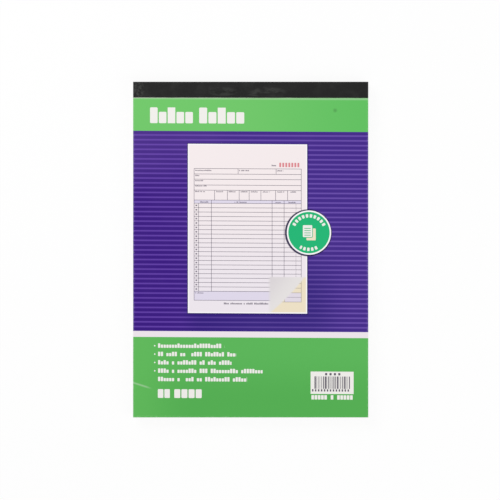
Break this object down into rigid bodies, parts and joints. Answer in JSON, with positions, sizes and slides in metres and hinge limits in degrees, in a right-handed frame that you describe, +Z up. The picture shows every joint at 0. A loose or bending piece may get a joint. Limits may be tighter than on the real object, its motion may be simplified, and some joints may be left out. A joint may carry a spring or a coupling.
{
  "type": "order book",
  "caption": "Top-bound two-part order book: printed card cover, perforated white sheets over canary copies, stapled head under cloth tape, and a wraparound flap hinged at the foot.",
  "frame": {"origin": "on the surface that the book lies on, under the middle of its outline", "axes": "+Y towards the bound head, +X to the right of a reader, +Z up out of the cover"},
  "size_m": [0.146, 0.209, 0.0104],
  "materials": {
    "cover_card": "coated, printed in green and violet",
    "cloth_tape": "black coated binding cloth, semi-matte",
    "steel_wire": "galvanised",
    "white_paper": "uncoated carbonless paper",
    "canary_paper": "uncoated carbonless paper",
    "packed_paper": "trimmed paper edges, white and canary by turns",
    "chipboard": "grey, uncoated",
    "wrap_card": "pale grey card, uncoated"
  },
  "bodies": {
    "bound_pack": {"front_cover_margin": "cover_card", "binding_tape": "cloth_tape", "staple_left": "steel_wire", "staple_right": "steel_wire", "white_stub_1": "white_paper", "canary_stub_1": "canary_paper", "white_stub_2": "white_paper", "canary_stub_2": "canary_paper", "white_stub_3": "white_paper", "canary_stub_3": "canary_paper", "white_stub_4": "white_paper", "canary_stub_4": "canary_paper", "white_stub_5": "white_paper", "canary_stub_5": "canary_paper", "sheet_pack": "packed_paper", "back_board": "chipboard", "wraparound_back": "wrap_card"},
    "cover": {"front_cover": "cover_card"},
    "white_leaf_1": {"white_sheet_1": "white_paper"},
    "canary_leaf_1": {"canary_sheet_1": "canary_paper"},
    "white_leaf_2": {"white_sheet_2": "white_paper"},
    "canary_leaf_2": {"canary_sheet_2": "canary_paper"},
    "white_leaf_3": {"white_sheet_3": "white_paper"},
    "canary_leaf_3": {"canary_sheet_3": "canary_paper"},
    "white_leaf_4": {"white_sheet_4": "white_paper"},
    "canary_leaf_4": {"canary_sheet_4": "canary_paper"},
    "white_leaf_5": {"white_sheet_5": "white_paper"},
    "canary_leaf_5": {"canary_sheet_5": "canary_paper"},
    "strip": {"wraparound_strip": "wrap_card"},
    "flap": {"wraparound_flap": "wrap_card"}
  },
  "joints": [
    {"name": "cover_hinge", "type": "hinge", "parent": "bound_pack", "child": "cover", "pos_m": [0, 0.09435, 0.00985], "axis": [-1, 0, 0], "range_deg": [0, 172]},
    {"name": "white_1_hinge", "type": "hinge", "parent": "bound_pack", "child": "white_leaf_1", "pos_m": [0, 0.09435, 0.00985], "axis": [-1, 0, 0], "range_deg": [0, 163.4]},
    {"name": "canary_1_hinge", "type": "hinge", "parent": "bound_pack", "child": "canary_leaf_1", "pos_m": [0, 0.09435, 0.00985], "axis": [-1, 0, 0], "range_deg": [0, 147.92]},
    {"name": "white_2_hinge", "type": "hinge", "parent": "bound_pack", "child": "white_leaf_2", "pos_m": [0, 0.09435, 0.00985], "axis": [-1, 0, 0], "range_deg": [0, 132.44]},
    {"name": "canary_2_hinge", "type": "hinge", "parent": "bound_pack", "child": "canary_leaf_2", "pos_m": [0, 0.09435, 0.00985], "axis": [-1, 0, 0], "range_deg": [0, 116.96]},
    {"name": "white_3_hinge", "type": "hinge", "parent": "bound_pack", "child": "white_leaf_3", "pos_m": [0, 0.09435, 0.00985], "axis": [-1, 0, 0], "range_deg": [0, 101.48]},
    {"name": "canary_3_hinge", "type": "hinge", "parent": "bound_pack", "child": "canary_leaf_3", "pos_m": [0, 0.09435, 0.00985], "axis": [-1, 0, 0], "range_deg": [0, 86]},
    {"name": "white_4_hinge", "type": "hinge", "parent": "bound_pack", "child": "white_leaf_4", "pos_m": [0, 0.09435, 0.00985], "axis": [-1, 0, 0], "range_deg": [0, 70.52]},
    {"name": "canary_4_hinge", "type": "hinge", "parent": "bound_pack", "child": "canary_leaf_4", "pos_m": [0, 0.09435, 0.00985], "axis": [-1, 0, 0], "range_deg": [0, 55.04]},
    {"name": "white_5_hinge", "type": "hinge", "parent": "bound_pack", "child": "white_leaf_5", "pos_m": [0, 0.09435, 0.00985], "axis": [-1, 0, 0], "range_deg": [0, 39.56]},
    {"name": "canary_5_hinge", "type": "hinge", "parent": "bound_pack", "child": "canary_leaf_5", "pos_m": [0, 0.09435, 0.00985], "axis": [-1, 0, 0], "range_deg": [0, 24.08]},
    {"name": "back_fold", "type": "hinge", "parent": "bound_pack", "child": "strip", "pos_m": [0, -0.10455, 0.00038], "axis": [-1, 0, 0], "range_deg": [0, 270]},
    {"name": "front_fold", "type": "hinge", "parent": "strip", "child": "flap", "pos_m": [0, -0.09508, 0], "axis": [-1, 0, 0], "range_deg": [0, 90]}
  ],
  "couplings": [
    {"joint": "white_1_hinge", "follows": "cover_hinge", "ratio": 0.95},
    {"joint": "canary_1_hinge", "follows": "cover_hinge", "ratio": 0.86},
    {"joint": "white_2_hinge", "follows": "cover_hinge", "ratio": 0.77},
    {"joint": "canary_2_hinge", "follows": "cover_hinge", "ratio": 0.68},
    {"joint": "white_3_hinge", "follows": "cover_hinge", "ratio": 0.59},
    {"joint": "canary_3_hinge", "follows": "cover_hinge", "ratio": 0.5},
    {"joint": "white_4_hinge", "follows": "cover_hinge", "ratio": 0.41},
    {"joint": "canary_4_hinge", "follows": "cover_hinge", "ratio": 0.32},
    {"joint": "white_5_hinge", "follows": "cover_hinge", "ratio": 0.23},
    {"joint": "canary_5_hinge", "follows": "cover_hinge", "ratio": 0.14}
  ]
}
